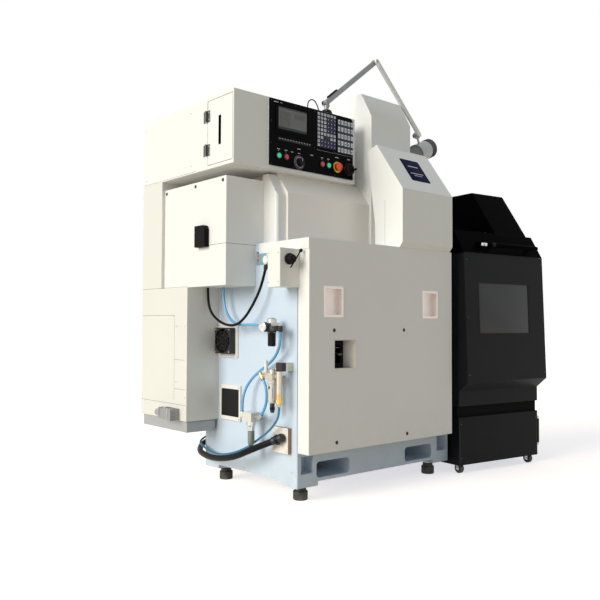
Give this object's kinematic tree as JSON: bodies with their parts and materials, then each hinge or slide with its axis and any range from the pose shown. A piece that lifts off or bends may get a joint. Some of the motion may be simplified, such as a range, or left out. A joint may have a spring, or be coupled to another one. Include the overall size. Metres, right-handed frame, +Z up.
{
  "type": "vertical lathe",
  "caption": "Compact vertical turning machine on a cast bed with sloped covers, a control box, an arm lamp, air units with tubing and a rolling chip unit.",
  "frame": {"origin": "centre of the underside of the front left levelling foot, on the floor", "axes": "+X to the operator's right along the front, +Y to the back, +Z up"},
  "size_m": [1.9319, 1.203, 2.1235],
  "materials": {
    "casting_paint": "satin",
    "ivory_paint": "satin",
    "black_paint": "satin",
    "grey_paint": "satin",
    "black_plastic": "matte",
    "key_plastic": "matte",
    "screen_glass": "gloss",
    "green_plastic": "gloss",
    "red_plastic": "gloss",
    "chrome": "polished",
    "rubber": "matte",
    "steel": "ground",
    "iron": "machined",
    "lamp_metal": "satin",
    "blue_tube": "smooth",
    "black_hose": "smooth"
  },
  "bodies": {
    "machine": {"bed_casting": "casting_paint", "levelling_feet": "rubber", "front_cover": "ivory_paint", "breaker": "black_plastic", "pull_cups": "chrome", "front_hood": "ivory_paint", "column_cover": "ivory_paint", "badge_cover": "ivory_paint", "headstock_cover": "ivory_paint", "cable_boot": "rubber", "nc_box": "ivory_paint", "control_panel": "black_paint", "screen": "screen_glass", "keypad": "key_plastic", "rear_cabinet": "ivory_paint", "cabinet_connector": "grey_paint", "junction_box": "casting_paint", "fan_housing": "black_plastic", "vent_grille": "black_plastic", "cable_plate": "casting_paint", "air_regulator": "chrome", "air_filter": "chrome", "mist_filter": "grey_paint", "conduit": "black_hose", "supply_hose": "blue_tube", "upper_tube": "blue_tube", "cross_tube": "blue_tube", "inlet_tube": "blue_tube", "sender_cable": "black_hose", "lamp_cable": "grey_paint", "lamp_base": "lamp_metal", "spindle_housing": "iron", "inner_column": "iron"},
    "breaker_lever": {"breaker_lever": "black_plastic"},
    "nc_box_door": {"nc_box_door": "ivory_paint"},
    "start_button": {"start_button": "green_plastic"},
    "stop_button": {"stop_button": "red_plastic"},
    "hold_button": {"hold_button": "red_plastic"},
    "cycle_button": {"cycle_button": "green_plastic"},
    "emergency_stop": {"emergency_stop": "red_plastic"},
    "feed_knob": {"feed_knob": "black_plastic"},
    "handwheel": {"handwheel": "black_plastic"},
    "selector_switch": {"selector_switch": "black_plastic"},
    "fan_rotor": {"fan_rotor": "black_plastic"},
    "regulator_knob": {"regulator_knob": "black_plastic"},
    "lamp_post": {"lamp_post": "lamp_metal"},
    "lamp_lower_arm": {"lamp_lower_arm": "lamp_metal"},
    "lamp_upper_arm": {"lamp_upper_arm": "lamp_metal"},
    "lamp_head": {"lamp_head": "lamp_metal"},
    "unit_body": {"unit_body": "black_paint"},
    "unit_lid": {"unit_lid": "black_paint"},
    "caster_fork_left": {"caster_fork_left": "chrome"},
    "caster_fork_right": {"caster_fork_right": "chrome"},
    "caster_wheel_left": {"caster_wheel_left": "rubber"},
    "caster_wheel_right": {"caster_wheel_right": "rubber"},
    "rear_wheels": {"rear_wheels": "rubber"},
    "spindle": {"spindle": "steel"},
    "saddle": {"saddle": "iron"},
    "cross_slide": {"cross_slide": "iron"},
    "turret": {"turret": "steel"}
  },
  "joints": [
    {"name": "breaker_swing", "type": "hinge", "parent": "machine", "child": "breaker_lever", "pos_m": [0.1, -0.112, 0.6235], "axis": [1, 0, 0], "range_deg": [-35, 35]},
    {"name": "box_door_swing", "type": "hinge", "parent": "machine", "child": "nc_box_door", "pos_m": [-0.263, 0.354, 1.542], "axis": [0, 0, -1], "range_deg": [0, 110]},
    {"name": "start_button_press", "type": "slide", "parent": "machine", "child": "start_button", "axis": [0, 1, 0], "range_m": [0, 0.004], "stiffness_N_per_m": 800},
    {"name": "stop_button_press", "type": "slide", "parent": "machine", "child": "stop_button", "axis": [0, 1, 0], "range_m": [0, 0.004], "stiffness_N_per_m": 800},
    {"name": "hold_button_press", "type": "slide", "parent": "machine", "child": "hold_button", "axis": [0, 1, 0], "range_m": [0, 0.004], "stiffness_N_per_m": 800},
    {"name": "cycle_button_press", "type": "slide", "parent": "machine", "child": "cycle_button", "axis": [0, 1, 0], "range_m": [0, 0.004], "stiffness_N_per_m": 800},
    {"name": "emergency_stop_press", "type": "slide", "parent": "machine", "child": "emergency_stop", "axis": [0, 1, 0], "range_m": [0, 0.006], "stiffness_N_per_m": 1500},
    {"name": "feed_knob_turn", "type": "hinge", "parent": "machine", "child": "feed_knob", "pos_m": [0.108, 0.143, 1.496], "axis": [0, 1, 0], "range_deg": [-135, 135]},
    {"name": "handwheel_turn", "type": "hinge", "parent": "machine", "child": "handwheel", "pos_m": [0.43, 0.143, 1.509], "axis": [0, 1, 0], "continuous": true},
    {"name": "selector_turn", "type": "hinge", "parent": "machine", "child": "selector_switch", "pos_m": [-0.134, -0.078, 1.021], "axis": [0, 1, 0], "range_deg": [-90, 0]},
    {"name": "fan_spin", "type": "hinge", "parent": "machine", "child": "fan_rotor", "pos_m": [-0.085, 0.426, 0.673], "axis": [1, 0, 0], "continuous": true},
    {"name": "regulator_turn", "type": "hinge", "parent": "machine", "child": "regulator_knob", "pos_m": [-0.138, 0.03, 0.741], "axis": [0, 0, 1], "range_deg": [-360, 360]},
    {"name": "lamp_swivel", "type": "hinge", "parent": "machine", "child": "lamp_post", "pos_m": [0.322, 0.187, 1.768], "axis": [0, 0, 1], "range_deg": [-120, 3]},
    {"name": "lamp_shoulder", "type": "hinge", "parent": "lamp_post", "child": "lamp_lower_arm", "pos_m": [0.322, 0.187, 1.83], "axis": [0, -1, 0], "range_deg": [0, 40]},
    {"name": "lamp_elbow", "type": "hinge", "parent": "lamp_lower_arm", "child": "lamp_upper_arm", "pos_m": [0.666, 0.187, 2.111], "axis": [0, -1, 0], "range_deg": [0, 60]},
    {"name": "lamp_tilt", "type": "hinge", "parent": "lamp_upper_arm", "child": "lamp_head", "pos_m": [1.003, 0.187, 1.789], "axis": [0, -1, 0], "range_deg": [-20, 70]},
    {"name": "unit_roll", "type": "slide", "parent": "machine", "child": "unit_body", "axis": [0.9914, -0.1305, 0], "range_m": [0, 0.3]},
    {"name": "unit_lid_swing", "type": "hinge", "parent": "unit_body", "child": "unit_lid", "pos_m": [1.32734, 0.51825, 1.207], "axis": [-0.9914, 0.1305, 0], "range_deg": [0, 40]},
    {"name": "caster_swivel_left", "type": "hinge", "parent": "unit_body", "child": "caster_fork_left", "pos_m": [0.98194, -0.09037, 0.08], "axis": [0, 0, 1], "continuous": true},
    {"name": "caster_roll_left", "type": "hinge", "parent": "caster_fork_left", "child": "caster_wheel_left", "pos_m": [0.98037, -0.10227, 0.025], "axis": [0.9914, -0.1305, 0], "continuous": true},
    {"name": "caster_swivel_right", "type": "hinge", "parent": "unit_body", "child": "caster_fork_right", "pos_m": [1.50344, -0.15903, 0.08], "axis": [0, 0, 1], "continuous": true},
    {"name": "caster_roll_right", "type": "hinge", "parent": "caster_fork_right", "child": "caster_wheel_right", "pos_m": [1.50187, -0.17092, 0.025], "axis": [0.9914, -0.1305, 0], "continuous": true},
    {"name": "rear_wheels_roll", "type": "hinge", "parent": "unit_body", "child": "rear_wheels", "pos_m": [1.31735, 0.44241, 0.025], "axis": [0.9914, -0.1305, 0], "continuous": true},
    {"name": "spindle_turn", "type": "hinge", "parent": "machine", "child": "spindle", "pos_m": [0.694, 0.332, 1.108], "axis": [0, 0, 1], "continuous": true},
    {"name": "saddle_travel", "type": "slide", "parent": "machine", "child": "saddle", "axis": [0, 0, 1], "range_m": [-0.08, 0.06]},
    {"name": "cross_slide_travel", "type": "slide", "parent": "saddle", "child": "cross_slide", "axis": [1, 0, 0], "range_m": [-0.025, 0.025]},
    {"name": "turret_index", "type": "hinge", "parent": "cross_slide", "child": "turret", "pos_m": [0.694, 0.3952, 1.525], "axis": [0, 1, 0], "continuous": true}
  ]
}
